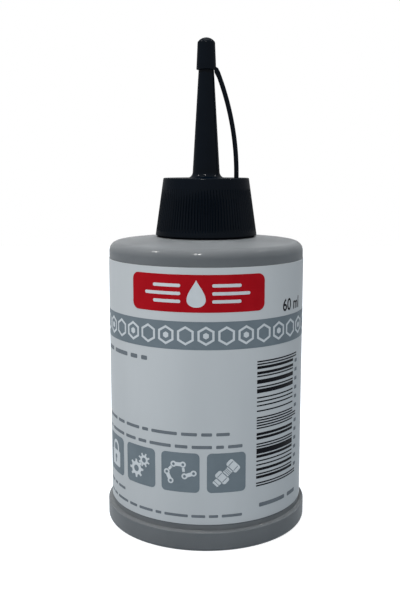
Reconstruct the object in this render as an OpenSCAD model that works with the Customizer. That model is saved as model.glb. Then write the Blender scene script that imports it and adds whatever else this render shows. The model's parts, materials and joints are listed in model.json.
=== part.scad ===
// Squeeze bottle of graphite lock grease with a screw-on spout closure.
// The spout's tip cap stays captive on a moulded strap.
// Millimetres, +Z up, origin on the bottle's axis at the plane it stands on.
// The label's front faces -Y and the strap lies on the +X side.

/* [Bottle] */
// Diameter of the side wall under the label
panel_d = 39.92; // [36:0.02:46]
// How far the bumper ring round the base stands out from the side wall
bumper_step = 0.96; // [0.8:0.02:2]
// Height of the bumper ring
bumper_h = 4; // [3:0.1:8]
// Rounding of the bumper's lower edge
heel_round = 0.9; // [0.4:0.1:1.5]
// Rounding of the bumper's upper edge
bumper_round = 0.4; // [0.1:0.05:0.4]
// Fillet between the bumper ring and the side wall
bumper_fillet = 0.35; // [0.1:0.05:0.4]
// Width of the flat ring that the bottle stands on
standing_w = 3.2; // [1.5:0.1:6]
// Height of the hollow under the base
push_up = 1.4; // [0.6:0.1:3]
// Thickness of the side wall
bottle_wall = 0.9; // [0.6:0.05:1.5]
// Thickness of the floor
floor_t = 1.2; // [0.8:0.1:2.5]
// Rounding inside, where the floor meets the side wall
cavity_round = 2; // [0.5:0.1:4]

/* [Shoulder and neck] */
// Height at which the side wall turns into the shoulder
shoulder_z = 56.9; // [45:0.1:90]
// Rounding of the shoulder
shoulder_round = 1.9; // [1.7:0.1:5]
// Rise of the shoulder towards the neck, in degrees
shoulder_slope = 6; // [3:0.5:12]
// Thickness of the neck's wall between its threads
neck_wall = 1.4; // [0.8:0.1:2]
// Depth of the neck's thread and of the bead under it
thread_t = 0.7; // [0.4:0.1:1]
// Fillet where the neck leaves the shoulder
neck_fillet = 0.6; // [0.2:0.1:0.9]
// Height of the bead under the thread
bead_h = 1; // [0.6:0.1:1.6]
// Plain stretch of neck between its fillet and the bead
bead_gap = 0.17; // [0.05:0.01:0.8]
// Rounding of the lip at the mouth
lip_round = 0.3; // [0.1:0.05:0.5]

/* [Label] */
// Bare strip between the bumper ring and the label
label_low_gap = 1.3; // [0.6:0.1:8]
// Bare strip between the label and the start of the shoulder
label_high_gap = 1.5; // [0:0.1:8]
// Thickness of the label film
label_t = 0.1; // [0.06:0.02:0.2]
// Thickness of the adhesive under the film
adhesive_t = 0.02; // [0.01:0.01:0.05]
// Length of film that laps over itself at the back
label_lap = 5; // [2:0.5:10]

/* [Contents] */
// Depth of the grease's surface below the start of the shoulder
headspace = 2.16; // [0.2:0.02:30]
// Gap kept between the grease and the wall
fill_gap = 0.05; // [0.02:0.01:0.1]

/* [Closure] */
// Diameter of the skirt at its lower edge
skirt_d = 20.86; // [20.2:0.02:22]
// Diameter of the deck that carries the nozzle
deck_d = 17.5; // [17.2:0.1:19]
// Height from the skirt's lower edge to the deck
skirt_h = 11.65; // [10:0.05:15]
// Gap between the skirt's lower edge and the shoulder
skirt_gap = 0.3; // [0.2:0.05:1]
// Thickness of the deck
deck_t = 1.3; // [1:0.1:2]
// Thickness of the tapered outer skirt
skirt_wall = 1.1; // [0.8:0.05:1.3]
// Thickness of the straight sleeve that carries the inner thread
sleeve_wall = 0.8; // [0.6:0.05:0.8]
// Width of deck left outside the sleeve
deck_lip = 0.35; // [0.2:0.05:1]
// Radial clearance between the sleeve and the neck's thread
thread_gap = 0.2; // [0.1:0.05:0.3]
// Narrowest width of the hollow between skirt and sleeve
core_min = 0.3; // [0.2:0.05:0.4]
// Rounding of the deck's edge
deck_round = 0.25; // [0.1:0.05:0.5]
// Rounding of the skirt's lower edge
skirt_round = 0.2; // [0.1:0.05:0.4]
// Chamfer that leads the neck into the sleeve
lead_in = 0.3; // [0.1:0.05:0.5]
// Number of grip grooves
groove_n = 100; // [60:1:120]
// Width of a grip groove
groove_w = 0.34; // [0.2:0.02:0.4]
// Depth of a grip groove
groove_t = 0.2; // [0.1:0.02:0.3]
// Plain band above the grooves
groove_top = 2.1; // [1:0.1:4]
// Plain band below the grooves
groove_bottom = 1.5; // [1:0.1:4]
// Thickness of the sealing ring on the mouth
seal_t = 1; // [0.5:0.1:2]
// Width of the sealing ring
seal_w = 3.25; // [2.4:0.05:4.5]
// Clearance between the sealing ring and the sleeve
seal_gap = 0.15; // [0.1:0.05:0.3]

/* [Nozzle] */
// Diameter of the nozzle at the deck
nozzle_d = 5.66; // [5:0.02:7]
// Diameter of the nozzle at its tip
nozzle_tip_d = 2.5; // [2.2:0.02:3]
// Height of the nozzle above the deck
nozzle_h = 26.5; // [20:0.1:40]
// Fillet between the nozzle and the deck
nozzle_fillet = 1.2; // [0.5:0.1:1.6]
// Bore of the nozzle at the deck
nozzle_bore_d = 3.4; // [2.4:0.1:3.8]
// Outlet at the tip
outlet_d = 1; // [0.6:0.1:1.2]

/* [Tip cap and strap] */
// Length of nozzle that the tip cap covers
cap_cover = 5; // [3:0.1:8]
// Thickness of the tip cap's wall at its rim
cap_rim_wall = 0.39; // [0.3:0.01:0.8]
// Thickness of the tip cap's wall where its dome starts
cap_top_wall = 0.46; // [0.3:0.01:0.8]
// Height of the tip cap's dome
cap_dome = 0.9; // [0.6:0.1:1.2]
// Rounding between the tip cap's side and its dome
cap_round = 0.4; // [0.1:0.05:0.6]
// Clearance between the tip cap and the nozzle
cap_gap = 0.06; // [0.03:0.01:0.1]
// Gap left above the nozzle's tip
cap_end_gap = 0.15; // [0.1:0.05:0.4]
// Thickness of the tip cap's top
cap_end_t = 1.1; // [0.9:0.1:2]
// Distance of the strap's foot from the deck's edge
strap_inset = 2.5; // [1.2:0.05:3]
// Distance from the tip cap's rim out to the strap's middle line
strap_rim_x = 0.15; // [0:0.05:0.4]
// Radius that the strap bows to
strap_bow = 55; // [40:1:120]
// Thickness of the strap
strap_t = 0.8; // [0.6:0.05:0.9]
// Width of the strap
strap_w = 1.3; // [1:0.1:1.8]
// Height of the stub that the strap grows from on the deck
strap_stub = 0.6; // [0.4:0.1:1.2]
// Length of the lug that joins the strap to the tip cap
strap_lug = 0.8; // [0.6:0.1:1.2]

/* [Hidden] */
$fn = 96;
arc_steps = 10;
// Smallest rounding that an inner corner keeps
sharp = 0.05;
// How far a cutter runs past what it cuts
cut = 1;
function degrees(length, radius) = length / radius * 180 / PI;

// Bottle
panel_r = panel_d / 2;
base_r = panel_r + bumper_step;
inner_r = panel_r - bottle_wall;
stand_r = base_r - heel_round - standing_w;
dome_r = (stand_r * stand_r + push_up * push_up) / (2 * push_up);
dome_z = push_up - dome_r;

// Shoulder: its round ends in a straight slope that rises to the neck
slope_start_r = panel_r - shoulder_round + shoulder_round * sin(shoulder_slope);
slope_start_z = shoulder_z + shoulder_round * cos(shoulder_slope);
function slope_z(r) = slope_start_z + (slope_start_r - r) * tan(shoulder_slope);

// Closure
skirt_r = skirt_d / 2;
deck_r = deck_d / 2;
closure_z = slope_z(skirt_r) + skirt_gap;
deck_z = closure_z + skirt_h;
deck_under_z = deck_z - deck_t;
mouth_z = deck_under_z - seal_t;
skirt_taper = (skirt_r - deck_r) / skirt_h;
sleeve_r = deck_r - deck_lip;
bore_r = sleeve_r - sleeve_wall;
core_w = skirt_r - skirt_wall - sleeve_r;
core_h = core_w > core_min ? (core_w - core_min) / skirt_taper : 0;
seal_r = bore_r - seal_gap;

// Neck, which the closure's sleeve fits over
bead_r = bore_r - thread_gap;
neck_r = bead_r - thread_t;
neck_bore_r = neck_r - neck_wall;
neck_turn_r = neck_r + neck_fillet;
neck_turn_z = slope_z(neck_turn_r) + neck_fillet / cos(shoulder_slope);
bead_z = neck_turn_z + bead_gap;
bead_flank = bead_h / 4;

// Label and contents
label_z = bumper_h + label_low_gap;
label_h = shoulder_z - label_high_gap - label_z;
label_in_r = panel_r + adhesive_t;
label_r = label_in_r + label_t;
lap_angle = degrees(label_lap, label_r);
fill_z = shoulder_z - headspace;

// Nozzle and tip cap
nozzle_r = nozzle_d / 2;
nozzle_tip_r = nozzle_tip_d / 2;
nozzle_taper = (nozzle_r - nozzle_tip_r) / nozzle_h;
nozzle_lean = atan(nozzle_taper);
tip_z = deck_z + nozzle_h;
rim_z = tip_z - cap_cover;
cap_end_z = tip_z + cap_end_gap;
cap_top_z = cap_end_z + cap_end_t;
function nozzle_at(z) = nozzle_r - (z - deck_z) * nozzle_taper;
cap_rim_r = nozzle_at(rim_z) + cap_gap + cap_rim_wall;
cap_top_r = nozzle_at(cap_end_z) + cap_gap + cap_top_wall;

// Strap: an arc from its foot on the deck to the tip cap's rim, drawn in the XZ plane
strap_foot_x = deck_r - strap_inset;
strap_top_x = cap_rim_r + strap_rim_x;
strap_rise = rim_z - deck_z;
strap_run = strap_foot_x - strap_top_x;
strap_chord = sqrt(strap_rise * strap_rise + strap_run * strap_run);
strap_half = asin(strap_chord / 2 / strap_bow);
strap_chord_lean = atan(strap_run / strap_rise);
strap_foot_a = strap_chord_lean - strap_half;
strap_top_a = strap_chord_lean + strap_half;
strap_cx = strap_foot_x - strap_bow * cos(strap_foot_a);
strap_cz = deck_z - strap_bow * sin(strap_foot_a);
function strap_angle(length) = degrees(length, strap_bow);

// Points along an arc, from one angle to another
function arc(x, z, r, from, to) =
    [for (i = [0 : arc_steps]) let (a = from + (to - from) * i / arc_steps) [x + r * cos(a), z + r * sin(a)]];

// Outside of the bottle, from the middle of its underside up to the mouth
function bottle_outline() = concat(
    arc(0, dome_z, dome_r, 90, acos(stand_r / dome_r)),
    arc(base_r - heel_round, heel_round, heel_round, -90, 0),
    arc(base_r - bumper_round, bumper_h - bumper_round, bumper_round, 0, 90),
    arc(panel_r + bumper_fillet, bumper_h + bumper_fillet, bumper_fillet, 270, 180),
    arc(panel_r - shoulder_round, shoulder_z, shoulder_round, 0, 90 - shoulder_slope),
    arc(neck_turn_r, neck_turn_z, neck_fillet, 270 - shoulder_slope, 180),
    [
        [neck_r, bead_z],
        [bead_r, bead_z + bead_flank],
        [bead_r, bead_z + bead_h - bead_flank],
        [neck_r, bead_z + bead_h]
    ],
    arc(neck_r - lip_round, mouth_z - lip_round, lip_round, 0, 90),
    [[0, mouth_z]]
);

// Floor and side of the cavity, drawn in by a gap and closed off at a height
function cavity_outline(gap, top_z) =
    let (
        r = inner_r - gap,
        floor_r = dome_r + floor_t + gap,
        floor_z = floor_t + gap,
        flat_r = floor_r * cos(asin((floor_z - dome_z) / floor_r)),
        corner = min(cavity_round, r - flat_r)
    )
    concat(
        arc(0, dome_z, floor_r, 90, acos(flat_r / floor_r)),
        arc(r - corner, floor_z + corner, corner, -90, 0),
        [[r, top_z]]
    );

// Whole cavity, with the inside of the shoulder and the neck's bore
function bottle_cavity() =
    let (
        round_r = max(shoulder_round - bottle_wall, sharp),
        turn_r = inner_r - round_r,
        slope_r = turn_r + round_r * sin(shoulder_slope),
        rise = (slope_r - neck_bore_r) * tan(shoulder_slope)
    )
    concat(
        cavity_outline(0, shoulder_z),
        arc(turn_r, shoulder_z, round_r, 0, 90 - shoulder_slope),
        [
            [neck_bore_r, shoulder_z + round_r * cos(shoulder_slope) + rise],
            [neck_bore_r, mouth_z + cut],
            [0, mouth_z + cut]
        ]
    );

// Outside of the closure: skirt, deck and nozzle
function closure_outline() =
    let (turn_r = nozzle_r - nozzle_fillet * nozzle_taper + nozzle_fillet / cos(nozzle_lean))
    concat(
        [[0, closure_z]],
        arc(skirt_r - skirt_round, closure_z + skirt_round, skirt_round, -90, 0),
        arc(deck_r - deck_round, deck_z - deck_round, deck_round, 0, 90),
        arc(turn_r, deck_z + nozzle_fillet, nozzle_fillet, 270, 180 + nozzle_lean),
        [[nozzle_tip_r, tip_z], [0, tip_z]]
    );

// Inside of the closure: sleeve bore, underside of the deck and the nozzle's tapering bore
function closure_bore() = [
    [0, closure_z - cut],
    [bore_r + lead_in + cut, closure_z - cut],
    [bore_r, closure_z + lead_in],
    [bore_r, deck_under_z],
    [nozzle_bore_d / 2, deck_under_z],
    [outlet_d / 2, tip_z],
    [outlet_d / 2, tip_z + cut],
    [0, tip_z + cut]
];

// Hollow between the tapered skirt and the straight sleeve, open underneath
function closure_core() = [
    [sleeve_r, closure_z - cut],
    [sleeve_r + core_w, closure_z - cut],
    [sleeve_r + core_w, closure_z],
    [sleeve_r + core_min, closure_z + core_h],
    [sleeve_r, closure_z + core_h]
];

// Outside of the tip cap: a ball-shaped top whose edge rounds over into the side
function cap_outline() =
    let (
        ball_r = (cap_top_r * cap_top_r + cap_dome * cap_dome) / (2 * cap_dome),
        ball_z = cap_top_z - ball_r,
        turn_r = cap_top_r - cap_round,
        turn_a = acos(turn_r / (ball_r - cap_round)),
        turn_z = ball_z + (ball_r - cap_round) * sin(turn_a)
    )
    concat(
        [[0, rim_z], [cap_rim_r, rim_z]],
        arc(turn_r, turn_z, cap_round, 0, turn_a),
        arc(0, ball_z, ball_r, turn_a, 90)
    );

// Inside of the tip cap, a clearance away from the nozzle
function cap_bore() = [
    [0, rim_z - cut],
    [nozzle_at(rim_z - cut) + cap_gap, rim_z - cut],
    [nozzle_at(cap_end_z) + cap_gap, cap_end_z],
    [0, cap_end_z]
];

// Flat-sided strip with round edges that follows the strap's bow between two angles
module strap_strip(from, to) {
    edge_r = strap_t / 2;
    side_w = strap_w - strap_t;
    translate([strap_cx, 0, strap_cz])
        rotate([90, 0, 0])
            rotate([0, 0, from])
                rotate_extrude(angle = to - from)
                    translate([strap_bow, 0]) {
                        square([strap_t, side_w], center = true);
                        for (side = [-1, 1])
                            translate([0, side * side_w / 2])
                                circle(r = edge_r);
                    }
}

// Wedges that cut the grip grooves along the skirt's taper
module grip_grooves() {
    lean = atan(skirt_taper);
    start_r = skirt_r - groove_bottom * skirt_taper;
    length = (skirt_h - groove_bottom - groove_top) / cos(lean);
    for (i = [0 : groove_n - 1])
        rotate([0, 0, i * 360 / groove_n])
            translate([start_r, 0, closure_z + groove_bottom])
                rotate([0, -lean, 0])
                    linear_extrude(length)
                        polygon([[-groove_t, 0], [groove_t, -groove_w], [groove_t, groove_w]]);
}

module bottle_body() {
    color("#6b6f72")
        difference() {
            rotate_extrude() polygon(bottle_outline());
            rotate_extrude() polygon(bottle_cavity());
        }
}

module wrap_label() {
    far = 2 * label_r;
    lap = [for (side = [-1, 1]) [far * sin(side * lap_angle / 2), far * cos(lap_angle / 2)]];
    color("#b4babf")
        translate([0, 0, label_z])
            linear_extrude(label_h) {
                difference() {
                    circle(r = label_r);
                    circle(r = label_in_r);
                }
                intersection() {
                    difference() {
                        circle(r = label_r + label_t);
                        circle(r = label_r - label_t / 2);
                    }
                    polygon([[0, 0], lap[0], lap[1]]);
                }
            }
}

module grease_fill() {
    color("#303236")
        rotate_extrude() polygon(concat(cavity_outline(fill_gap, fill_z), [[0, fill_z]]));
}

module neck_seal() {
    color("#dcdbd5")
        translate([0, 0, mouth_z])
            difference() {
                cylinder(h = seal_t, r = seal_r);
                translate([0, 0, -cut]) cylinder(h = seal_t + 2 * cut, r = seal_r - seal_w);
            }
}

module spout_cap() {
    color("#14181d")
        difference() {
            union() {
                rotate_extrude() polygon(closure_outline());
                strap_strip(strap_foot_a - strap_angle(deck_t / 2), strap_foot_a + strap_angle(strap_stub));
            }
            rotate_extrude() polygon(closure_bore());
            if (core_h > 0) rotate_extrude() polygon(closure_core());
            grip_grooves();
        }
}

module tip_strap() {
    color("#101215")
        strap_strip(strap_foot_a + strap_angle(strap_stub), strap_top_a - strap_angle(strap_lug / 2));
}

module tip_cap() {
    color("#13171c")
        difference() {
            union() {
                rotate_extrude() polygon(cap_outline());
                strap_strip(strap_top_a - strap_angle(strap_lug / 2), strap_top_a + strap_angle(strap_lug / 2));
            }
            rotate_extrude() polygon(cap_bore());
        }
}

bottle_body();
wrap_label();
grease_fill();
neck_seal();
spout_cap();
tip_strap();
tip_cap();
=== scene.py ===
# %% [markdown]
# # A squeeze bottle of graphite grease for locks
#
# This lesson builds a small grey squeeze bottle with a black spout closure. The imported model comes
# first. It fixes where every piece sits and how the closure and its tip cap move, so nothing here
# needs to be fitted by eye: sizes are read from it, or are the maker's own millimetres.

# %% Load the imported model
import json
import math

import bmesh
import bpy
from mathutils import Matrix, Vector

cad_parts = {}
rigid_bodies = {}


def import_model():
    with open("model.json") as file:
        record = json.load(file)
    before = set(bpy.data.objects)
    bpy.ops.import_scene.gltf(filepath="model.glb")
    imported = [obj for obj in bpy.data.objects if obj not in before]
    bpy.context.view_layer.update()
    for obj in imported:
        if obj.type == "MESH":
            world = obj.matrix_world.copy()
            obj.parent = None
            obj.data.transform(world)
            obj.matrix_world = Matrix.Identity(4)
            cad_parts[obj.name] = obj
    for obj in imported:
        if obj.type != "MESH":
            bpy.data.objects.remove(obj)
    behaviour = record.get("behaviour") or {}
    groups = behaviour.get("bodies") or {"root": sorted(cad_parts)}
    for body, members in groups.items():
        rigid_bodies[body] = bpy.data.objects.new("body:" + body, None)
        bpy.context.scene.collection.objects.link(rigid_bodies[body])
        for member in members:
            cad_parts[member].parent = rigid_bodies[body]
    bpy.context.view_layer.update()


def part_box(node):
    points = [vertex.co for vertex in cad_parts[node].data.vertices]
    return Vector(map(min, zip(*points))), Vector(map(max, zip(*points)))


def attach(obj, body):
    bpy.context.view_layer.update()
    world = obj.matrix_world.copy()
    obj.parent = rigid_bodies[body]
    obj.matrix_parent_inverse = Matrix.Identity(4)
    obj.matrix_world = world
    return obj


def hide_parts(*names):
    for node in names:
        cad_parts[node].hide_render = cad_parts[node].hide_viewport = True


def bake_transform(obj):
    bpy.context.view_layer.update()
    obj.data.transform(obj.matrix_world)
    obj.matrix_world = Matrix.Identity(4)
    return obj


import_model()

MM = 0.001

# %% [markdown]
# ## The camera
#
# The picture was taken from just above the height of the closure's deck, tilted a little downwards,
# from less than 20 cm away. Being that close is what bends the label's edges into such strong
# curves. A camera in Blender needs the same distance, height and lens. The bottle stands slightly
# right of the middle, so the camera is turned a fraction to the left, which frames it without any
# lens shift.

# %% Place the camera
camera_distance = 175.04 * MM
camera_height = 74.1 * MM
look_down = math.radians(9.05)
look_left = math.radians(0.413)
picture_height = 600
focal_pixels = 845.9

bpy.ops.object.camera_add(
    location=(0, -camera_distance, camera_height),
    rotation=(math.pi / 2 - look_down, 0, look_left),
)
camera = bpy.context.object
camera.name = "camera"
camera.data.sensor_fit = "AUTO"
camera.data.lens = camera.data.sensor_width * focal_pixels / picture_height
bpy.context.scene.camera = camera
print("lens:", round(camera.data.lens, 2), "mm")

# %% [markdown]
# ## Tools for turned pieces
#
# Almost every piece of this bottle is round. Such a piece could start as a cylinder with loop after
# loop moved into place, but a lathe is easier to read: draw half of the cross-section as a chain of
# corners, round each corner with a vertex bevel, and spin the chain about the Z axis. The next
# cells make that lathe from a few edit-mode operators.

# %% Pick parts of a mesh by their place
def deselect_all():
    if bpy.context.mode != "OBJECT":
        bpy.ops.object.mode_set(mode="OBJECT")
    bpy.ops.object.select_all(action="DESELECT")


def pick(piece, kind, test):
    """Selects only the vertices, edges or faces that pass the test, and returns how many do."""
    bpy.ops.mesh.select_mode(type=kind)
    bpy.ops.mesh.select_all(action="DESELECT")
    mesh = bmesh.from_edit_mesh(piece.data)
    parts = {"VERT": mesh.verts, "EDGE": mesh.edges, "FACE": mesh.faces}[kind]
    found = [part for part in parts if test(part)]
    for part in found:
        part.select = True
    mesh.select_flush_mode()
    bmesh.update_edit_mesh(piece.data)
    return len(found)


# %% Draw a chain of corners
TOUCH = 1e-7


def start_piece(name):
    """A new, empty piece at the origin, open in edit mode."""
    deselect_all()
    bpy.ops.mesh.primitive_plane_add(size=MM)
    piece = bpy.context.object
    piece.name = name
    bpy.ops.object.mode_set(mode="EDIT")
    bpy.ops.mesh.select_all(action="SELECT")
    bpy.ops.mesh.delete(type="VERT")
    return piece


def draw_chain(piece, points, closed):
    """Adds a chain of edges to the open piece by extruding one vertex from point to point."""
    bpy.ops.mesh.select_mode(type="VERT")
    bpy.ops.mesh.primitive_plane_add(size=MM)
    bpy.ops.mesh.merge(type="CENTER")
    bpy.ops.transform.translate(value=points[0])
    for here, there in zip(points, points[1:]):
        bpy.ops.mesh.extrude_vertices_move(TRANSFORM_OT_translate={"value": there - here})
    if closed:
        ends = (points[0], points[-1])
        pick(piece, "VERT", lambda vertex: any((vertex.co - end).length < TOUCH for end in ends))
        bpy.ops.mesh.edge_face_add()


# %% Round corners, spin and finish
arc_step = math.radians(10)
fewest_arc_steps = 3


def round_corners(piece, points, roundings):
    """Bevels each corner so that its arc has the wanted radius."""
    for number, rounding in enumerate(roundings):
        if not rounding:
            continue
        corner = points[number]
        arriving = corner - points[number - 1]
        leaving = points[(number + 1) % len(points)] - corner
        turn = arriving.angle(leaving)
        pick(piece, "VERT", lambda vertex: (vertex.co - corner).length < TOUCH)
        bpy.ops.mesh.bevel(
            offset=rounding * math.tan(turn / 2),
            segments=max(fewest_arc_steps, round(turn / arc_step)),
            affect="VERTICES",
        )


def close_up(smooth_below=30):
    """Merges doubles, turns faces outwards, and smooths all but the sharp edges."""
    bpy.ops.mesh.select_all(action="SELECT")
    bpy.ops.mesh.remove_doubles(threshold=TOUCH)
    bpy.ops.mesh.normals_make_consistent(inside=False)
    bpy.ops.object.mode_set(mode="OBJECT")
    bpy.ops.object.shade_smooth_by_angle(angle=math.radians(smooth_below))


def lathe(name, outline, steps, closed=False):
    """Spins (radius, height, rounding) corners, in mm, about Z, and leaves the piece open."""
    points = [Vector((radius, 0, height)) * MM for radius, height, _ in outline]
    piece = start_piece(name)
    draw_chain(piece, points, closed)
    round_corners(piece, points, [rounding * MM for _, _, rounding in outline])
    bpy.ops.mesh.select_all(action="SELECT")
    bpy.ops.mesh.spin(steps=steps, angle=math.tau, center=(0, 0, 0), axis=(0, 0, 1))
    bpy.ops.mesh.select_all(action="SELECT")
    bpy.ops.mesh.remove_doubles(threshold=TOUCH)
    return piece


def report(piece):
    """Prints how many faces a piece has, and its box."""
    sides = [[vertex.co[axis] / MM for vertex in piece.data.vertices] for axis in range(3)]
    low, high = ([round(end(side), 2) for side in sides] for end in (min, max))
    print(f"{piece.name}: {len(piece.data.polygons)} faces, from {low} to {high} mm")


# %% [markdown]
# ## The bottle
#
# The bottle is blown from one tube of polyethylene: a base with a bumper ring that protects the
# label, a straight wall, a rounded shoulder and a narrow neck. Its wall is under a millimetre
# thick. The outline runs up the outside, over the neck's mouth and down the inside to the floor, so
# the lathe makes a real hollow bottle and no Solidify modifier is needed.

# %% Measure the bottle
bottle_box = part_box("bottle_body")
base_r = bottle_box[1].x / MM
mouth_z = bottle_box[1].z / MM
bumper_top, bumper_step = 4.0, 0.96
panel_r = base_r - bumper_step
wall, floor_wall = 0.9, 1.2
inner_r = panel_r - wall
heel_round, stand_wide = 0.9, 3.2
stand_r = base_r - heel_round - stand_wide
push_up = 1.4
shoulder_turn_z, shoulder_round = 56.9, 1.9
shoulder_slope = math.radians(6)
neck_r, neck_bore_r, bead_r = 6.7, 5.3, 7.4
bead_low, bead_high, bead_slant = 60.71, 61.71, 0.2


def shoulder_at(radius):
    """Height of the sloping top of the shoulder."""
    start_r = panel_r - shoulder_round * (1 - math.sin(shoulder_slope))
    start_z = shoulder_turn_z + shoulder_round * math.cos(shoulder_slope)
    return start_z + (start_r - radius) * math.tan(shoulder_slope)


def push_up_at(radius):
    """Height of the hollow under the base."""
    return push_up * (1 - (radius / stand_r) ** 2)


print(f"base radius {base_r:.2f} mm, wall at {panel_r:.2f} mm, mouth at {mouth_z:.2f} mm")

# %% Turn the bottle
dish_rings = 6
dish = [stand_r * ring / dish_rings for ring in range(dish_rings)]
inside_drop = wall / math.cos(shoulder_slope)
stand_round, bumper_round, bumper_fillet = 1.2, 0.15, 0.2
neck_fillet, bead_fillet, bead_round, mouth_round = 0.6, 0.1, 0.12, 0.3
floor_round, dish_round = 2.0, 1.0
bottle_outline = (
    [(radius, push_up_at(radius), 0) for radius in dish]
    + [
        (stand_r, 0, stand_round),
        (base_r, 0, heel_round),
        (base_r, bumper_top, bumper_round),
        (panel_r, bumper_top, bumper_fillet),
        (panel_r, shoulder_at(panel_r), shoulder_round),
        (neck_r, shoulder_at(neck_r), neck_fillet),
        (neck_r, bead_low, bead_fillet),
        (bead_r, bead_low + bead_slant, bead_round),
        (bead_r, bead_high - bead_slant, bead_round),
        (neck_r, bead_high, bead_fillet),
        (neck_r, mouth_z, mouth_round),
        (neck_bore_r, mouth_z, mouth_round),
        (neck_bore_r, shoulder_at(neck_bore_r) - inside_drop, neck_fillet),
        (inner_r, shoulder_at(inner_r) - inside_drop, shoulder_round - wall),
        (inner_r, floor_wall, floor_round),
        (stand_r, floor_wall, dish_round),
    ]
    + [(radius, push_up_at(radius) + floor_wall, 0) for radius in reversed(dish)]
)
bottle = lathe("bottle_shell", bottle_outline, steps=192)
close_up()
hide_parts("bottle_body")
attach(bottle, "bottle")
report(bottle)

# %% [markdown]
# ## The neck's thread
#
# A closure like this turns on about one and a half turns of thread. The ridge is a small trapezium
# that climbs round the neck, and the Screw modifier is made for exactly that: it sweeps an outline
# about an axis while it rises. The two ends are then capped, and drawn in towards the neck so that
# the ridge runs out as a moulded one does.

# %% Sweep a ridge
pitch = 3.0
thread_z = 63.2
steps_a_turn = 96
run_out = (0.25, 1, 0.5)


def thread(name, root_r, crest_r, start, turns, root_h, crest_h):
    """A ridge that climbs from the height thread_z, on the side of the axis that start gives."""
    piece = start_piece(name)
    section = [
        Vector((start * radius, 0, thread_z + height)) * MM
        for radius, height in (
            (root_r, -root_h / 2),
            (crest_r, -crest_h / 2),
            (crest_r, crest_h / 2),
            (root_r, root_h / 2),
        )
    ]
    draw_chain(piece, section, closed=True)
    bpy.ops.object.mode_set(mode="OBJECT")
    sweep = piece.modifiers.new("sweep", "SCREW")
    sweep.axis = "Z"
    sweep.angle = math.tau * turns
    sweep.screw_offset = pitch * turns * MM
    sweep.steps = sweep.render_steps = round(steps_a_turn * turns)
    bpy.ops.object.modifier_apply(modifier=sweep.name)
    bpy.ops.object.mode_set(mode="EDIT")
    bpy.ops.mesh.select_mode(type="EDGE")
    bpy.ops.mesh.select_all(action="DESELECT")
    bpy.ops.mesh.select_non_manifold(extend=False, use_wire=False)
    bpy.ops.mesh.fill_holes(sides=len(section))
    last_side = start if turns % 1 == 0 else -start
    for side, rise in ((start, 0), (last_side, pitch * turns)):
        root = Vector((side * root_r, 0, thread_z + rise)) * MM

        def in_end(vertex):
            return (vertex.co - root).length < root_h * MM and abs(vertex.co.y) < TOUCH

        pick(piece, "VERT", in_end)
        bpy.ops.transform.resize(value=run_out, center_override=root)
    close_up()
    return piece


# %% Sweep the neck's thread
ridge_sunk = 0.1
neck_thread = thread(
    "neck_thread", neck_r - ridge_sunk, bead_r, start=1, turns=1.5, root_h=1.5, crest_h=0.7
)
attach(neck_thread, "bottle")
report(neck_thread)

# %% [markdown]
# ## The weld under the base
#
# When a blow mould shuts, it pinches the soft tube flat and leaves a low weld line across the
# middle of the base. It is a small bar: a cube stretched to its size, its edges bevelled, and set
# so that most of it is buried in the base.

# %% Make the weld line
weld_long, weld_wide, weld_tall, weld_round = 15.0, 0.7, 0.5, 0.2
deselect_all()
bpy.ops.mesh.primitive_cube_add(size=MM)
weld = bpy.context.object
weld.name = "base_weld"
bpy.ops.object.mode_set(mode="EDIT")
bpy.ops.transform.resize(value=(weld_long, weld_wide, weld_tall), center_override=(0, 0, 0))
bpy.ops.transform.translate(value=(0, 0, push_up_at(weld_long / 2) * MM))
bpy.ops.mesh.select_all(action="SELECT")
bpy.ops.mesh.bevel(offset=weld_round * MM, segments=4, affect="EDGES")
close_up(smooth_below=50)
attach(weld, "bottle")
report(weld)

# %% [markdown]
# ## The grease and the sealing ring
#
# Neither shows while the closure is on, but both belong to the object. The grease fills the bottle
# almost to its shoulder and clings a little higher where it meets the wall. The ring is cut from
# foamed sheet and lies between the neck's mouth and the underside of the closure's deck. Both are
# round, so both come off the lathe.

# %% Turn the grease
fill_gap = 0.05
fill_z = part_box("grease_fill")[1].z / MM
fill_r = inner_r - fill_gap
cling_top, cling_foot, cling_tall = 0.4, 1.6, 0.7
hollow_r, hollow_deep, middle_deep = 6, 0.8, 0.5
grease_outline = (
    [(radius, push_up_at(radius) + floor_wall + fill_gap, 0) for radius in dish]
    + [
        (stand_r, floor_wall + fill_gap, dish_round),
        (fill_r, floor_wall + fill_gap, floor_round),
        (fill_r, fill_z, 0.1),
        (fill_r - cling_top, fill_z, 0.3),
        (fill_r - cling_foot, fill_z - cling_tall, 2.5),
        (hollow_r, fill_z - hollow_deep, 3.0),
        (0, fill_z - middle_deep, 0),
    ]
)
grease = lathe("grease_plug", grease_outline, steps=128)
close_up()
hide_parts("grease_fill")
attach(grease, "bottle")
report(grease)

# %% Turn the sealing ring
seal_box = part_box("neck_seal")
seal_r = seal_box[1].x / MM
seal_low, seal_high = seal_box[0].z / MM, seal_box[1].z / MM
seal_wide, seal_round = 3.25, 0.12
seal_bore_r = seal_r - seal_wide
seal_outline = [
    (seal_bore_r, seal_low, seal_round),
    (seal_r, seal_low, seal_round),
    (seal_r, seal_high, seal_round),
    (seal_bore_r, seal_high, seal_round),
]
seal = lathe("seal_ring", seal_outline, steps=128, closed=True)
close_up()
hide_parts("neck_seal")
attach(seal, "seal")
report(seal)

# %% [markdown]
# ## The label
#
# The label is a strip of printed film that goes right round the bottle and overlaps itself at the
# back. A ring turned on the lathe is the film, and a narrow strip on top of it is the lap. The lap
# is modelled flat, because straight edges are easy to draw on a flat sheet, and then bent round the
# bottle. The bend operator needs a window, so the Simple Deform modifier does the bending.

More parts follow.
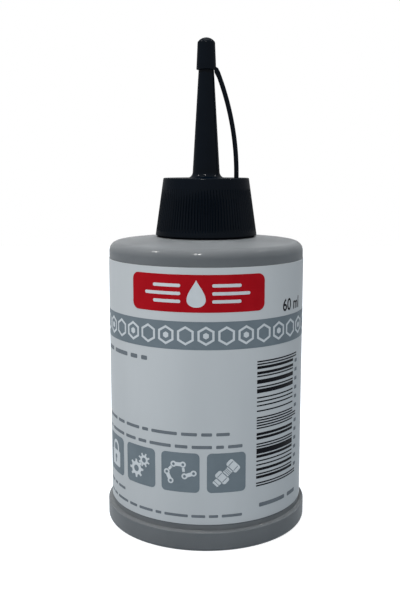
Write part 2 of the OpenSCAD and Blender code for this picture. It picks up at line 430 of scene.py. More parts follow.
# %% Turn the film
label_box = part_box("wrap_label")
label_r = label_box[1].x / MM
label_low, label_high = label_box[0].z / MM, label_box[1].z / MM
film, film_edge = 0.1, 0.03
label = lathe(
    "label_film",
    [
        (label_r - film, label_low, 0),
        (label_r, label_low, film_edge),
        (label_r, label_high, film_edge),
        (label_r - film, label_high, 0),
    ],
    steps=192,
    closed=True,
)
close_up()
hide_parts("wrap_label")
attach(label, "bottle")
report(label)

# %% Draw flat shapes and wrap them round
FACING_FRONT = math.pi / 2


def add_bar(along, height, wide, tall, corner=0, turn=0):
    """Adds a flat bar to the open piece; along runs round the label from its front, in mm."""
    middle = Vector((along, 0, height)) * MM
    bpy.ops.mesh.select_mode(type="VERT")
    bpy.ops.mesh.primitive_plane_add(size=MM, location=middle, rotation=(FACING_FRONT, 0, 0))
    bpy.ops.transform.resize(value=(wide, 1, tall), center_override=middle)
    if corner:
        bpy.ops.mesh.bevel(offset=corner * MM, segments=5, affect="VERTICES")
    if turn:
        bpy.ops.mesh.select_linked()
        bpy.ops.transform.rotate(
            value=math.radians(turn), orient_axis="Y", center_override=middle
        )


def wrap_round(piece, radius, thick, column=1.0):
    """Gives flat shapes a thickness and bends them round Z, with their back at the radius."""
    bpy.ops.mesh.select_mode(type="FACE")
    bpy.ops.mesh.select_all(action="SELECT")
    bpy.ops.mesh.remove_doubles(threshold=TOUCH)
    bpy.ops.mesh.quads_convert_to_tris()
    across = [vertex.co.x for vertex in bmesh.from_edit_mesh(piece.data).verts]
    place = math.ceil(min(across) / (column * MM)) * column * MM
    while place < max(across):
        bpy.ops.mesh.select_all(action="SELECT")
        bpy.ops.mesh.bisect(plane_co=(place, 0, 0), plane_no=(1, 0, 0))
        place += column * MM
    bpy.ops.mesh.select_all(action="SELECT")
    bpy.ops.mesh.extrude_region_move(TRANSFORM_OT_translate={"value": (0, -thick * MM, 0)})
    close_up()
    bend = piece.modifiers.new("bend", "SIMPLE_DEFORM")
    bend.deform_method = "BEND"
    bend.deform_axis = "Z"
    bend.angle = (max(across) - min(across)) / (radius * MM)
    bpy.ops.object.modifier_apply(modifier=bend.name)
    bpy.ops.object.mode_set(mode="EDIT")
    bpy.ops.mesh.select_all(action="SELECT")
    bpy.ops.transform.translate(value=(0, -radius * MM, 0))
    bpy.ops.object.mode_set(mode="OBJECT")


# %% Bend the lap
lap_wide, lap_column = 5.0, 0.5
lap_sunk = film / 10


def turn_to_back():
    """Turns the wrapped piece half round the bottle."""
    bpy.ops.object.mode_set(mode="EDIT")
    bpy.ops.mesh.select_all(action="SELECT")
    bpy.ops.transform.rotate(value=math.pi, orient_axis="Z", center_override=(0, 0, 0))
    bpy.ops.object.mode_set(mode="OBJECT")


lap = start_piece("label_lap")
add_bar(0, (label_low + label_high) / 2, lap_wide, label_high - label_low)
wrap_round(lap, label_r - lap_sunk, film + lap_sunk, lap_column)
turn_to_back()
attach(lap, "bottle")
report(lap)

# %% [markdown]
# ## What is printed on the label
#
# Ink lies on the film as a layer far thinner than a hair. It could be painted in the label's
# material, but then every shape would be a formula. Here each ink is its own thin piece, drawn flat
# and wrapped like the lap. Two hundredths of a millimetre keep a second layer clear of the first.
# The prints are plain: a red panel with a drop of oil, a grey band with a row of hexagons, four
# tiles with pictograms of things that want grease, a bar code and lines of dashes. The band goes
# all the way round, so the lathe makes it.

# %% Ink layers and the grey band
ink, ink_sunk = 0.02, 0.005


def print_on_label(piece, layer):
    """Wraps flat shapes on the label, or on the ink that is already there."""
    wrap_round(piece, label_r + layer * ink - ink_sunk, ink + ink_sunk)
    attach(piece, "bottle")
    report(piece)


band_low, band_high = 39.88, 45.25
band_z = (band_low + band_high) / 2
band = lathe(
    "print_band",
    [
        (label_r - ink_sunk, band_low, 0),
        (label_r + ink, band_low, 0),
        (label_r + ink, band_high, 0),
        (label_r - ink_sunk, band_high, 0),
    ],
    steps=192,
    closed=True,
)
close_up()
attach(band, "bottle")
report(band)

# %% [markdown]
# The lap carries the band on over the join. Two ends of a strip never meet quite level, so this
# short length sits a little higher than the rest.

# %% Band across the lap
band_slip = 0.15
lap_band = start_piece("print_band_lap")
add_bar(0, band_z + band_slip, lap_wide, band_high - band_low)
wrap_round(lap_band, label_r + film - ink_sunk, ink + ink_sunk, lap_column)
turn_to_back()
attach(lap_band, "bottle")
report(lap_band)

# %% [markdown]
# The red panel and the four tiles are flat bars, and a vertex bevel is all that their round corners
# need.

# %% Red panel
panel_mid, panel_wide = -1.85, 27.2
panel_low, panel_high = 47.0, 54.1
panel_z = (panel_low + panel_high) / 2
red_panel = start_piece("print_red_panel")
add_bar(panel_mid, panel_z, panel_wide, panel_high - panel_low, corner=1.4)
print_on_label(red_panel, layer=0)

# %% Four tiles
tile_pitch, tile_wide, tile_tall, tile_z = 9.1, 7.7, 7.9, 15.73
third_tile = -5.05
tile_places = [third_tile + tile_pitch * step for step in (-2, -1, 0, 1)]
tiles = start_piece("print_tiles")
for place in tile_places:
    add_bar(place, tile_z, tile_wide, tile_tall, corner=0.9)
print_on_label(tiles, layer=0)

# %% [markdown]
# Pale ink prints a drop and lines on the panel, and hexagons on the band. A disc of six sides is a
# hexagon, and an inset whose middle is deleted leaves its ring. The drop is a closed outline: its
# sides follow a circle that narrows towards the top.

# %% Discs, rings and closed outlines
def add_disc(along, height, radius, sides=24):
    bpy.ops.mesh.primitive_circle_add(
        vertices=sides,
        radius=radius * MM,
        fill_type="NGON",
        location=(along * MM, 0, height * MM),
        rotation=(FACING_FRONT, 0, 0),
    )


def cut_ring(thick):
    """Leaves a ring of the face that was just added."""
    bpy.ops.mesh.select_mode(type="FACE")
    bpy.ops.mesh.inset(thickness=thick * MM)
    bpy.ops.mesh.delete(type="FACE")


def add_outline(piece, corners):
    """Fills a closed outline of (along, height) corners."""
    points = [Vector((along, 0, height)) * MM for along, height in corners]
    draw_chain(piece, points, closed=True)
    bpy.ops.mesh.select_linked()
    bpy.ops.mesh.edge_face_add()


# %% Pale ink: drop, lines and hexagons
drop_tall, drop_sharp, drop_points = 5.2, 1.6, 40
drop = []
for step in range(drop_points):
    way = math.tau * step / drop_points
    out = drop_tall / 2 * math.sin(way) * math.sin(way / 2) ** drop_sharp
    drop.append((panel_mid + out, panel_z + drop_tall / 2 * math.cos(way)))
pale = start_piece("print_pale")
add_outline(pale, drop)

line_from, line_pitch, line_tall = 3.0, 1.5, 0.62
for side in (-1, 1):
    for row, long in ((1, 5.6), (0, 7.4), (-1, 5.6)):
        along = panel_mid + side * (line_from + long / 2)
        add_bar(along, panel_z + line_pitch * row, long, line_tall, corner=0.28)

hexagon_pitch, hexagon_r, hexagon_ring, dot_r = 3.9, 1.85, 0.42, 0.62
for step in range(-7, 8):
    add_disc(step * hexagon_pitch, band_z, hexagon_r, sides=6)
    cut_ring(hexagon_ring)
    if step % 2 == 0:
        add_disc(step * hexagon_pitch, band_z, dot_r, sides=6)
print_on_label(pale, layer=1)

# %% [markdown]
# Each tile shows a thing that wants grease: a padlock, two gears, a chain, and a bolt with its nut.
# They are drawn as bars and closed outlines. Holes could be cut out of them, but a face with a hole
# in it is hard to slice cleanly, so holes and gaps are printed on top, in the tiles' own grey.

# %% Pictogram of a padlock
pictograms = start_piece("print_pictograms")
lock_at, gears_at, chain_at, bolt_at = tile_places
lock_wide, lock_tall, lock_z = 4.2, 3.3, tile_z - 1.0
shackle_r, shackle_bore_r, shackle_z = 1.55, 0.95, tile_z + 1.3
leg_apart, leg_wide, leg_tall, leg_z = 1.25, 0.6, 0.66, tile_z + 0.97
half_turn = [math.pi * step / 12 for step in range(13)]


def arc(along, height, radius, ways):
    """Corners on a circle."""
    return [(along + radius * math.cos(way), height + radius * math.sin(way)) for way in ways]


add_bar(lock_at, lock_z, lock_wide, lock_tall, corner=0.4)
outer_arc = arc(lock_at, shackle_z, shackle_r, half_turn)
inner_arc = arc(lock_at, shackle_z, shackle_bore_r, reversed(half_turn))
add_outline(pictograms, outer_arc + inner_arc)
for side in (-1, 1):
    add_bar(lock_at + side * leg_apart, leg_z, leg_wide, leg_tall)
print("padlock drawn at", round(lock_at, 2), "mm from the label's front")

# %% Pictogram of two gears
tooth_foot, tooth_top = 0.27, 0.14


def gear(along, height, root, tip, first=0, teeth=8):
    """Outline of a gear whose first tooth points up, or is turned by a share of a tooth."""
    tooth_shape = ((-tooth_foot, root), (-tooth_top, tip), (tooth_top, tip), (tooth_foot, root))
    corners = []
    for tooth in range(teeth):
        for part, radius in tooth_shape:
            way = math.tau * (tooth + first + part) / teeth
            corners.append((along + radius * math.sin(way), height + radius * math.cos(way)))
    return corners


big_gear, small_gear = (gears_at - 1.0, tile_z - 0.9), (gears_at + 1.1, tile_z + 1.2)
add_outline(pictograms, gear(*big_gear, root=1.35, tip=1.9))
add_outline(pictograms, gear(*small_gear, root=0.95, tip=1.45, first=0.5))
print("gears drawn at", round(gears_at, 2), "mm")

# %% Pictogram of a chain
eye_apart, eye_r = 0.95, 0.6
links_in_chain = ((-2.3, -0.95, -65), (-0.35, 1.6, 0), (1.8, -0.4, 20))
ties_in_chain = ((-2.0, 0.75, 50), (0.7, 0.55, -82))
tie_long, tie_wide = 0.8, 0.5


def chain_link(along, height, turn):
    """Outline of a link: two round eyes and a narrower waist."""
    lean = math.radians(turn)
    corners = []
    for end in (1, -1):
        for degrees in range(-140, 141, 20):
            way = math.radians(degrees)
            out = end * (eye_apart + eye_r * math.cos(way))
            across = end * eye_r * math.sin(way)
            link_x = along + out * math.cos(lean) - across * math.sin(lean)
            link_z = height + out * math.sin(lean) + across * math.cos(lean)
            corners.append((link_x, link_z))
    return corners


for along, height, turn in links_in_chain:
    add_outline(pictograms, chain_link(chain_at + along, tile_z + height, turn))
for along, height, turn in ties_in_chain:
    add_bar(chain_at + along, tile_z + height, tie_long, tie_wide, turn=turn)
print("chain drawn at", round(chain_at, 2), "mm")

# %% Pictogram of a bolt with its nut
bolt_lean = 45
head_at, shank_at, nut_at, end_at = 1.3, 0.2, -0.9, -1.9
bolt_parts = (
    (head_at, 1.6, 2.8, 0.45),
    (shank_at, 1.5, 1.4, 0),
    (nut_at, 1.6, 2.8, 0.45),
    (end_at, 1.2, 1.4, 0.2),
)
for along, wide, tall, corner in bolt_parts:
    add_bar(bolt_at + along, tile_z + along, wide, tall, corner=corner, turn=bolt_lean)
print_on_label(pictograms, layer=1)

# %% Holes in the padlock, the gears and the chain
keyhole_r, keyhole_z = 0.5, tile_z - 0.7
slot_wide, slot_tall, slot_z = 0.4, 1.1, tile_z - 1.4
big_bore_r, small_bore_r, eye_bore_r = 0.66, 0.5, 0.28
gaps = start_piece("print_pictogram_gaps")
add_disc(lock_at, keyhole_z, keyhole_r, sides=20)
add_bar(lock_at, slot_z, slot_wide, slot_tall)
add_disc(*big_gear, big_bore_r)
add_disc(*small_gear, small_bore_r)
for along, height, turn in links_in_chain:
    lean = math.radians(turn)
    for side in (-eye_apart, eye_apart):
        eye_x = chain_at + along + side * math.cos(lean)
        eye_z = tile_z + height + side * math.sin(lean)
        add_disc(eye_x, eye_z, eye_bore_r, sides=16)
print("eyes in the chain:", 2 * len(links_in_chain))

# %% Gaps in the bolt
part_gap, thread_gap, gap_tall = 0.16, 0.1, 1.6
bolt_gaps = [(along, part_gap) for along in (0.73, -0.33, -1.47)]
bolt_gaps += [(along, thread_gap) for along in (0.42, 0.2, -0.02, -2.0)]
for along, wide in bolt_gaps:
    add_bar(bolt_at + along, tile_z + along, wide, gap_tall, turn=bolt_lean)
facet, facet_long, facet_gap = 0.5, 1.2, 0.13
for along in (head_at, nut_at):
    for side in (-facet, facet):
        add_bar(
            bolt_at + along - side, tile_z + along + side, facet_long, facet_gap, turn=bolt_lean
        )
print_on_label(gaps, layer=2)

# %% [markdown]
# A bar code writes each digit as two bars and two gaps, seven units wide together, between pairs of
# longer guard bars at both ends and in the middle. This one only counts from 0 to 9 and on to 1, so
# it stands for no article.

# %% Dark ink: the bar code
bars_left, bars_right, guards_right = 10.25, 21.0, 22.6
bars_low, bars_high = 12.1, 37.2
digit_widths = ("3211", "2221", "2122", "1411", "1132", "1231", "1114", "1312", "1213", "3112")
lower_half = "".join(digit_widths[:6])
upper_half = "".join(digit_widths[6:] + digit_widths[:2])
widths = [int(width) for width in "111" + lower_half + "11111" + upper_half + "111"]
guard_bars = (0, 2, 28, 30, 56, 58)
bar_unit = (bars_high - bars_low) / sum(widths)
dark = start_piece("print_dark")
place = bars_low
for step, width in enumerate(widths):
    tall = width * bar_unit
    if step % 2 == 0:
        right = guards_right if step in guard_bars else bars_right
        add_bar((bars_left + right) / 2, place + tall / 2, right - bars_left, tall)
    place += tall
print_on_label(dark, layer=0)

# %% [markdown]
# Lines of dashes fill the rest of the label, and a dash marks each digit beside the bar code. The
# lengths of the dashes follow one fixed row of numbers, so they vary as words do and still come out
# the same each time.

# %% Lines of dashes
word_lengths = (4.1, 2.2, 3.4, 1.3, 4.8, 2.7, 1.8)
dash_share, dash_corner, dash_gap, shortest_dash = 0.55, 0.15, 0.7, 1
dash_lines = (
    (-27.0, -12.0, 37.6, 1.5, 1),
    (-27.0, 4.6, 23.4, 1.15, 0),
    (-27.0, 7.2, 20.9, 1.15, 3),
    (-28.0, -19.0, 9.4, 1.0, 2),
    (-28.0, 8.0, 7.0, 1.0, 5),
    (11.0, 22.6, 8.2, 1.5, 4),
)


def add_line(left, right, height, tall, first):
    """A line of dashes between two places round the label."""
    along, word = left, first
    while along < right - shortest_dash:
        long = min(word_lengths[word % len(word_lengths)] * tall, right - along)
        add_bar(along + long / 2, height, long, tall * dash_share, corner=tall * dash_corner)
        along += long + tall * dash_gap
        word += 1


dashes = start_piece("print_dashes")
for line in dash_lines:
    add_line(*line)
digit_units, lower_start, upper_start = 7, 3, 50
digit_x, digit_wide, digit_tall = guards_right - 0.2, 1.2, 0.7
for first_unit in (lower_start, upper_start):
    for digit in range(6):
        height = bars_low + (first_unit + digit_units * (digit + 0.5)) * bar_unit
        add_bar(digit_x, height, digit_wide, digit_tall, corner=0.15)
print_on_label(dashes, layer=0)

# %% [markdown]
# The only lettering on the label is its content, 60 ml. Blender's own typeface is a curve, so it is
# turned into a mesh first, stood up to face the front, and then wrapped like the other prints.

# %% Content mark
content_x, content_z = 16.7, 46.2
letter_size, letter_bold, letter_narrow = 3.3, 0.045, 0.9
deselect_all()
bpy.ops.object.text_add(
    location=(content_x * MM, 0, content_z * MM), rotation=(FACING_FRONT, 0, 0)
)
content = bpy.context.object
content.data.body = "60 ml"
content.data.size = letter_size * MM
content.data.offset = letter_bold * MM
content.scale.x = letter_narrow
content.data.resolution_u = 4
bpy.ops.object.convert(target="MESH")
content = bpy.context.object
content.name = "print_content"
bpy.ops.object.transform_apply(location=True, rotation=True, scale=True)
bpy.ops.object.mode_set(mode="EDIT")
print_on_label(content, layer=0)

# %% [markdown]
# ## The spout closure
#
# The closure is one black moulding: a skirt that narrows upwards, a flat deck and a long hollow
# nozzle. Under the deck a threaded sleeve grips the neck, with a gap between sleeve and skirt. All
# of that is one closed outline on the lathe. The skirt carries 96 fine grip ribs. Modelling one rib
# and copying it round would leave 96 loose slivers, so the lathe is given four steps to each rib,
# and two of every four are pressed inwards. The grooves run out slowly towards the deck, and
# quickly at the skirt's foot.

# %% Measure the closure
spout_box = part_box("spout_cap")
skirt_r = spout_box[1].x / MM
skirt_low, tip_z = spout_box[0].z / MM, spout_box[1].z / MM
deck_tall, deck_r, deck_wall = 11.65, 8.75, 1.3
deck_z = skirt_low + deck_tall
sleeve_r, sleeve_bore_r, lead_in = 8.4, 7.6, 0.3
gap_deep, gap_top, gap_foot = 4.37, 0.3, 0.93
nozzle_r, nozzle_tip_r = 2.83, 1.25
spout_bore_r, spout_tip_bore_r = 1.7, 0.5
nozzle_taper = (nozzle_r - nozzle_tip_r) / (tip_z - deck_z)


def skirt_at(height):
    """Radius of the skirt, which narrows upwards."""
    return skirt_r + (deck_r - skirt_r) * (height - skirt_low) / (deck_z - skirt_low)


def nozzle_at(height):
    """Radius of the nozzle, which narrows upwards."""
    return nozzle_r - (height - deck_z) * nozzle_taper


print(f"skirt {skirt_r:.2f} mm, deck at {deck_z:.2f} mm, nozzle tip at {tip_z:.2f} mm")

# %% Turn the closure
rib_count, rib_deep, steps_a_rib = 96, 0.27, 4
rib_low, rib_high = skirt_low + 1.0, deck_z - 2.1
foot_ramp, deck_ramp = 0.8, 2.2
rib_rows = [rib_low, rib_low + foot_ramp, rib_high - deck_ramp, rib_high]
closure_outline = (
    [(skirt_r, skirt_low, 0.2)]
    + [(skirt_at(height), height, 0) for height in rib_rows]
    + [
        (deck_r, deck_z, 0.25),
        (nozzle_r, deck_z, 1.2),
        (nozzle_tip_r, tip_z, 0.2),
        (spout_tip_bore_r, tip_z, 0.08),
        (spout_bore_r, deck_z - deck_wall, 0.5),
        (sleeve_bore_r, deck_z - deck_wall, 0.2),
        (sleeve_bore_r, skirt_low + lead_in, 0),
        (sleeve_bore_r + lead_in, skirt_low, 0.05),
        (sleeve_r, skirt_low, 0.1),
        (sleeve_r, skirt_low + gap_deep, 0.1),
        (sleeve_r + gap_top, skirt_low + gap_deep, 0.1),
        (sleeve_r + gap_foot, skirt_low, 0.1),
    ]
)
closure = lathe("spout_moulding", closure_outline, steps=steps_a_rib * rib_count, closed=True)
print("steps round the closure:", steps_a_rib * rib_count)

# %% Press in the grip
rib_step = math.tau / (steps_a_rib * rib_count)
skin_slack, row_slack = 0.05, 0.1
groove_steps = (2, 3)


def in_a_groove(vertex):
    """True between the first and the last row of ribs, on the two steps that are pressed in."""
    height = vertex.co.z / MM
    outside = math.hypot(vertex.co.x, vertex.co.y) / MM > skirt_at(height) - skin_slack
    between = rib_low + row_slack < height < rib_high - row_slack
    step = round(math.atan2(vertex.co.y, vertex.co.x) / rib_step) % steps_a_rib
    return outside and between and step in groove_steps


pressed = pick(closure, "VERT", in_a_groove)
shrink = 1 - rib_deep / skirt_at((rib_low + rib_high) / 2)
bpy.ops.transform.resize(value=(shrink, shrink, 1), center_override=(0, 0, 0))
close_up()
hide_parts("spout_cap")
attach(closure, "closure")
print("vertices pressed in for the grip:", pressed)
report(closure)

# %% [markdown]
# The sleeve's thread is the neck's turned inside out. It starts on the other side, half a pitch
# away, so that its single turn runs between the turns of the neck's ridge at every height of the
# closure.

# %% Sweep the sleeve's thread
sleeve_sunk, crest_gap = 0.05, 0.2
sleeve_thread = thread(
    "sleeve_thread",
    sleeve_bore_r + sleeve_sunk,
    neck_r + crest_gap,
    start=-1,
    turns=1,
    root_h=1.3,
    crest_h=0.6,
)
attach(sleeve_thread, "closure")
report(sleeve_thread)

# %% [markdown]
# ## The tip cap
#
# A small thimble with a domed end closes the nozzle. Its bore follows the nozzle's taper with a
# little clearance. The dome's points come from a circle, because one rounded corner would look like
# a peg.

# %% Turn the tip cap
cap_top_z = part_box("tip_cap")[1].z / MM
rim_z, cap_end_z = tip_z - 5.0, tip_z + 0.15
cap_gap, rim_wall, crown_wall = 0.06, 0.39, 0.46
rim_r = nozzle_at(rim_z) + cap_gap + rim_wall
crown_r = nozzle_at(cap_end_z) + cap_gap + crown_wall
crown_rise = 0.9
ball_r = (crown_r**2 + crown_rise**2) / (2 * crown_rise)
dome_step, dome_rings = 8, 6
dome = [math.radians(dome_step * ring) for ring in range(dome_rings)]
cap_outline = [
    (ball_r * math.sin(way), cap_top_z - ball_r * (1 - math.cos(way)), 0) for way in dome
] + [
    (crown_r, cap_top_z - crown_rise, 0.4),
    (rim_r, rim_z, 0.1),
    (nozzle_at(rim_z) + cap_gap, rim_z, 0.06),
    (nozzle_at(cap_end_z) + cap_gap, cap_end_z, 0.2),
    (0, cap_end_z, 0),
]
tip_cap = lathe("tip_cap_moulding", cap_outline, steps=96)
close_up()
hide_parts("tip_cap")
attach(tip_cap, "tip")
report(tip_cap)

# %% [markdown]
# ## The strap
#
# The tip cap stays with the closure on a thin moulded strap that bows outwards from the deck to the
# cap's rim. Its section is a bar with round sides, spun part of a turn about the centre of the bow.
# At the top a small gusset under the cap's rim takes the strap's
# end: an outline that is extruded to the strap's width, with its edges bevelled.

# %% Measure the bow
bow = 55.0
strap_out, strap_in, strap_wide = 0.4, 0.55, 1.3
strap_thick = strap_out + strap_in
strap_end, lug_end, foot_sunk, foot_hold = 0.8, 1.4, 0.5, 0.6
foot_in, top_out = 2.5, 0.15
foot = Vector((deck_r - foot_in, 0, deck_z))
chord = Vector((rim_r + top_out, 0, rim_z)) - foot
lean, half_way = math.atan2(-chord.x, chord.z), math.asin(chord.length / 2 / bow)
foot_way, top_way = lean - half_way, lean + half_way
bow_x, bow_z = foot.x - bow * math.cos(foot_way), foot.z - bow * math.sin(foot_way)


def on_strap(way, out=0):
    """A place on the bow, or beside it, as distances along X and Z in mm."""
    return bow_x + (bow + out) * math.cos(way), bow_z + (bow + out) * math.sin(way)


print("strap's way along the bow:", round(2 * half_way * bow, 2), "mm")

# %% Spin the strap
round_share = 0.48
middle = Vector((bow_x + bow + (strap_out - strap_in) / 2, 0, bow_z)) * MM
bow_centre = Vector((bow_x, 0, bow_z)) * MM
first_way, last_way = foot_way - foot_sunk / bow, top_way - strap_end / bow
strap = start_piece("strap_moulding")
bpy.ops.mesh.select_mode(type="VERT")
bpy.ops.mesh.primitive_plane_add(size=MM, location=middle)
bpy.ops.mesh.delete(type="ONLY_FACE")
bpy.ops.mesh.select_all(action="SELECT")
bpy.ops.transform.resize(value=(strap_thick, strap_wide, 1), center_override=middle)
bpy.ops.mesh.bevel(offset=strap_thick * round_share * MM, segments=6, affect="VERTICES")
bpy.ops.mesh.select_all(action="SELECT")
bpy.ops.transform.rotate(value=first_way, orient_axis="Y", center_override=bow_centre)
bpy.ops.mesh.spin(steps=48, angle=last_way - first_way, center=bow_centre, axis=(0, 1, 0))
bpy.ops.mesh.select_mode(type="EDGE")
bpy.ops.mesh.select_all(action="DESELECT")
bpy.ops.mesh.select_non_manifold(extend=False, use_wire=False)
bpy.ops.mesh.fill_holes(sides=0)
close_up(smooth_below=40)
report(strap)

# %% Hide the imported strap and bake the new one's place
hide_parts("tip_strap")
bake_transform(strap)

# %% Extrude the gusset
lug_below, lug_round = 0.5, 0.1
tuck_out, tuck_up = 0.08, 0.1
ledge_out, ledge_up = 0.36, 0.28
crest_in, crest_up = 0.1, 0.5
lug_corners = [
    (nozzle_at(rim_z) + tuck_out, rim_z + tuck_up),
    (nozzle_at(rim_z - lug_below) + cap_gap, rim_z - lug_below),
    on_strap(top_way - lug_end / bow, -strap_in),
    on_strap(top_way - strap_end / bow, strap_out),
    (rim_r + ledge_out, rim_z + ledge_up),
    (rim_r - crest_in, rim_z + crest_up),
]
lug = start_piece("strap_lug")
add_outline(lug, lug_corners)
bpy.ops.mesh.extrude_region_move(TRANSFORM_OT_translate={"value": (0, strap_wide * MM, 0)})
bpy.ops.mesh.select_all(action="SELECT")
bpy.ops.transform.translate(value=(0, -strap_wide / 2 * MM, 0))
bpy.ops.mesh.normals_make_consistent(inside=False)
bpy.ops.mesh.bevel(offset=lug_round * MM, segments=3, affect="EDGES")
close_up(smooth_below=40)
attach(lug, "tip")
report(lug)

# %% [markdown]
# ## Finishes
#
# No moulded or printed surface is one flat colour. Each finish here has three small variations, all
# read from Object coordinates so that they stay on the piece when it moves: soft clouds of tint, a
# gloss that changes with them, and a fine relief. Sizes are given in millimetres. Colours are
# written as they look on a screen, from 0 to 255, and turned into the linear values that shaders
# use.

# %% Write colours
def paint(*levels):
    """The linear colour of three screen levels, by the standard curve of screens."""
    shares = [level / 255 for level in levels]
    linear = [
        share / 12.92 if share <= 0.04045 else ((share + 0.055) / 1.055) ** 2.4
        for share in shares
    ]
    return (*linear, 1.0)


print("middle grey is", round(paint(128, 128, 128)[0], 3), "in linear light")

# %% Mix a finish
skin_rough, skin_ior = 0.1, 2.6
depth_share = 0.6
darkest_at, lightest_at = 0.3, 0.7
cloud_detail, grain_detail = 5, 3


def finish(
    name, darker, lighter, cloud, rough, grain, relief, specular,
    skin_gloss=0, depth=0, stretch=(1, 1, 1),
):
    """A material with clouds of tint and gloss, and a fine relief.

    Cloud, grain and relief are in mm, and so is depth, how far light wanders under the surface.
    """
    material = bpy.data.materials.new(name)
    material.use_nodes = True
    nodes, links = material.node_tree.nodes, material.node_tree.links
    shader = nodes["Principled BSDF"]
    shader.inputs["Specular IOR Level"].default_value = specular
    shader.inputs["Coat Weight"].default_value = skin_gloss
    shader.inputs["Coat Roughness"].default_value = skin_rough
    shader.inputs["Coat IOR"].default_value = skin_ior
    if depth:
        shader.inputs["Subsurface Weight"].default_value = depth_share
        shader.inputs["Subsurface Radius"].default_value = (1, 1, 1)
        shader.inputs["Subsurface Scale"].default_value = depth * MM
    place = nodes.new("ShaderNodeTexCoord")
    drawn_out = nodes.new("ShaderNodeMapping")
    drawn_out.inputs["Scale"].default_value = stretch
    links.new(place.outputs["Object"], drawn_out.inputs["Vector"])
    clouds = nodes.new("ShaderNodeTexNoise")
    clouds.inputs["Scale"].default_value = 1 / (cloud * MM)
    clouds.inputs["Detail"].default_value = cloud_detail
    links.new(drawn_out.outputs["Vector"], clouds.inputs["Vector"])
    tint = nodes.new("ShaderNodeValToRGB")
    tint.color_ramp.elements[0].position = darkest_at
    tint.color_ramp.elements[0].color = darker
    tint.color_ramp.elements[1].position = lightest_at
    tint.color_ramp.elements[1].color = lighter
    links.new(clouds.outputs["Fac"], tint.inputs["Fac"])
    links.new(tint.outputs["Color"], shader.inputs["Base Color"])
    gloss = nodes.new("ShaderNodeMapRange")
    gloss.inputs["To Min"].default_value, gloss.inputs["To Max"].default_value = rough
    links.new(clouds.outputs["Fac"], gloss.inputs["Value"])
    links.new(gloss.outputs["Result"], shader.inputs["Roughness"])
    skin = nodes.new("ShaderNodeTexNoise")
    skin.inputs["Scale"].default_value = 1 / (grain * MM)
    skin.inputs["Detail"].default_value = grain_detail
    links.new(place.outputs["Object"], skin.inputs["Vector"])
    bump = nodes.new("ShaderNodeBump")
    bump.inputs["Distance"].default_value = relief * MM
    links.new(skin.outputs["Fac"], bump.inputs["Height"])
    links.new(bump.outputs["Normal"], shader.inputs["Normal"])
    return material


def coat(material, *pieces):
    """Puts a finish on pieces, in place of any that they have."""
    for piece in pieces:
        piece.data.materials.clear()
        piece.data.materials.append(material)
    print(material.name, "on", ", ".join(piece.name for piece in pieces))


# %% [markdown]
# The bottle is satin polyethylene, coloured in the mass. Blowing leaves faint streaks along its
# height and a soft, slightly uneven skin. The black closure is injection moulded, with a finer
# grain.

# %% Plastics
grey_plastic = finish(
    "grey_polyethylene", paint(97, 101, 104), paint(103, 107, 110),
    cloud=9, rough=(0.45, 0.55), grain=1.4, relief=0.006, specular=0.05,
    skin_gloss=0.025, depth=0.5, stretch=(1, 1, 0.2),
)
coat(grey_plastic, bottle, neck_thread, weld)
black_plastic = finish(
    "black_polyethylene", paint(1, 6, 14), paint(3, 9, 17),
    cloud=4, rough=(0.40, 0.50), grain=0.7, relief=0.004, specular=0.01, skin_gloss=0.022,
)
coat(black_plastic, closure, sleeve_thread, tip_cap, strap, lug)

# %% [markdown]
# The film has a thin varnish. All the inks share its gloss and print with a faint grain, so one
# function mixes them, and each has its own two tints.

# %% Film and inks
film_finish = finish(
    "printed_film", paint(177, 182, 185), paint(183, 188, 191),
    cloud=14, rough=(0.40, 0.50), grain=3.5, relief=0.01, specular=0.025, stretch=(1, 1, 0.3),
)
coat(film_finish, label, lap)


def ink_finish(name, darker, lighter, cloud):
    return finish(
        name, darker, lighter,
        cloud=cloud, rough=(0.4, 0.5), grain=0.3, relief=0.002, specular=0.025,
    )


red_ink = ink_finish("red_ink", paint(152, 14, 24), paint(160, 18, 28), cloud=3)
coat(red_ink, red_panel)
grey_ink = ink_finish("grey_ink", paint(103, 114, 121), paint(109, 120, 127), cloud=3)
coat(grey_ink, band, lap_band, tiles, gaps)
pale_ink = ink_finish("pale_ink", paint(188, 194, 198), paint(196, 202, 206), cloud=3)
coat(pale_ink, pale, pictograms)
dark_ink = ink_finish("dark_ink", paint(12, 13, 17), paint(20, 21, 25), cloud=2)
coat(dark_ink, dark, content)
dash_ink = ink_finish("dash_ink", paint(98, 105, 111), paint(108, 115, 121), cloud=2)
coat(dash_ink, dashes)

# %% [markdown]
# Grease is dark with graphite, wet in places and lumpy, so it has the strongest relief of all. The
# foamed sheet of the sealing ring is off-white and dull, with fine pores.

# %% Grease and foam
grease_finish = finish(
    "graphite_grease", paint(44, 46, 48), paint(58, 60, 62),
    cloud=3, rough=(0.2, 0.4), grain=2.5, relief=0.15, specular=0.5,
)
coat(grease_finish, grease)
foam_finish = finish(
    "foamed_liner", paint(216, 216, 208), paint(226, 226, 218),
    cloud=1, rough=(0.8, 0.95), grain=0.25, relief=0.03, specular=0.2,
)
coat(foam_finish, seal)

# %% [markdown]
# ## Floor, background and lamps
#
# The bottle was photographed in a white tent. The background is white for the camera and for
# reflections, while the light that it sheds on the bottle is dimmer, so that colours come out about
# as written.

# %% White background with a dim glow
glow_strength = 0.14
world = bpy.data.worlds.new("white_tent")
bpy.context.scene.world = world
world.use_nodes = True
nodes, links = world.node_tree.nodes, world.node_tree.links
glow = nodes["Background"]
glow.inputs["Color"].default_value = (1, 1, 1, 1)
glow.inputs["Strength"].default_value = glow_strength
backdrop = nodes.new("ShaderNodeBackground")
backdrop.inputs["Color"].default_value = (1, 1, 1, 1)
backdrop.inputs["Strength"].default_value = 1.0


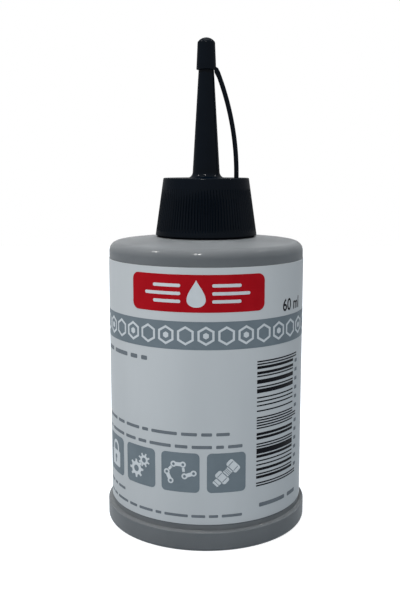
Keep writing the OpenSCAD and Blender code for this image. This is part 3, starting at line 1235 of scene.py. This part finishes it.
def seen_directly(nodes, links):
    """1 where a surface is seen by the camera, in a reflection or through something clear."""
    path = nodes.new("ShaderNodeLightPath")
    either = nodes.new("ShaderNodeMath")
    either.operation = "MAXIMUM"
    links.new(path.outputs["Is Camera Ray"], either.inputs[0])
    links.new(path.outputs["Is Glossy Ray"], either.inputs[1])
    any_of_them = nodes.new("ShaderNodeMath")
    any_of_them.operation = "MAXIMUM"
    links.new(either.outputs["Value"], any_of_them.inputs[0])
    links.new(path.outputs["Is Transmission Ray"], any_of_them.inputs[1])
    return any_of_them.outputs["Value"]


choose = nodes.new("ShaderNodeMixShader")
links.new(seen_directly(nodes, links), choose.inputs["Fac"])
links.new(glow.outputs["Background"], choose.inputs[1])
links.new(backdrop.outputs["Background"], choose.inputs[2])
links.new(choose.outputs["Shader"], nodes["World Output"].inputs["Surface"])
print("glow on the bottle:", glow_strength)

# %% [markdown]
# The floor is plain and pale. Far from the lamps it would fade to grey. To the camera and in
# reflections it therefore also glows a little, enough to stay white out to the horizon, and the
# bottle's shadow still darkens it. For all other light it is only a pale floor.

# %% Floor
floor_wide, floor_drop = 1.2, 0.01
floor_shine = (0.86, 0.86, 0.86, 1)
deselect_all()
bpy.ops.mesh.primitive_plane_add(size=floor_wide, location=(0, 0, -floor_drop * MM))
floor = bpy.context.object
floor.name = "floor"
floor_finish = finish(
    "pale_floor", paint(168, 178, 187), paint(172, 182, 191),
    cloud=120, rough=(0.8, 0.9), grain=8, relief=0.01, specular=0.1,
)
nodes, links = floor_finish.node_tree.nodes, floor_finish.node_tree.links
shine = nodes.new("ShaderNodeEmission")
links.new(seen_directly(nodes, links), shine.inputs["Strength"])
shine.inputs["Color"].default_value = floor_shine
both = nodes.new("ShaderNodeAddShader")
links.new(nodes["Principled BSDF"].outputs["BSDF"], both.inputs[0])
links.new(shine.outputs["Emission"], both.inputs[1])
links.new(both.outputs["Shader"], nodes["Material Output"].inputs["Surface"])
coat(floor_finish, floor)

# %% [markdown]
# Lamps stand on the bottle's left, front, right and back and look down at about fifty degrees.
# Small reflections on the shoulder and at the nozzle's foot give their directions. A softer one
# hangs high behind the bottle, where the closure hides it from the shoulder's front.

# %% Lamps
aim = Vector((0, 0, 55)) * MM


def lamp(name, bearing, elevation, watts, distance=0.75, size=0.08, tint=(1, 1, 1)):
    """A round lamp; bearing is in degrees from the camera's side, positive to the right."""
    turn, rise = math.radians(bearing), math.radians(elevation)
    way = Vector(
        (math.sin(turn) * math.cos(rise), -math.cos(turn) * math.cos(rise), math.sin(rise))
    )
    bpy.ops.object.light_add(type="AREA", location=aim + way * distance)
    light = bpy.context.object
    light.name = name
    light.rotation_euler = (-way).to_track_quat("-Z", "Y").to_euler()
    light.data.shape = "DISK"
    light.data.size = size
    light.data.energy = watts
    light.data.color = tint
    return light


lamps = [
    lamp("lamp_left", bearing=-92, elevation=53, watts=2.75, tint=(1, 0.96, 0.93)),
    lamp("lamp_front", bearing=-14, elevation=56, watts=4.75, tint=(1, 0.99, 0.98)),
    lamp("lamp_right", bearing=107, elevation=51, watts=1.4),
    lamp("lamp_back", bearing=-171, elevation=52, watts=0.2),
    lamp(
        "soft_top", bearing=180, elevation=74, watts=1.0,
        distance=0.6, size=0.35, tint=(1, 0.98, 0.96),
    ),
]
print("lamps:", {light.name: round(light.data.energy, 2) for light in lamps})

# %% Picture settings
bpy.context.scene.view_settings.view_transform = "Standard"
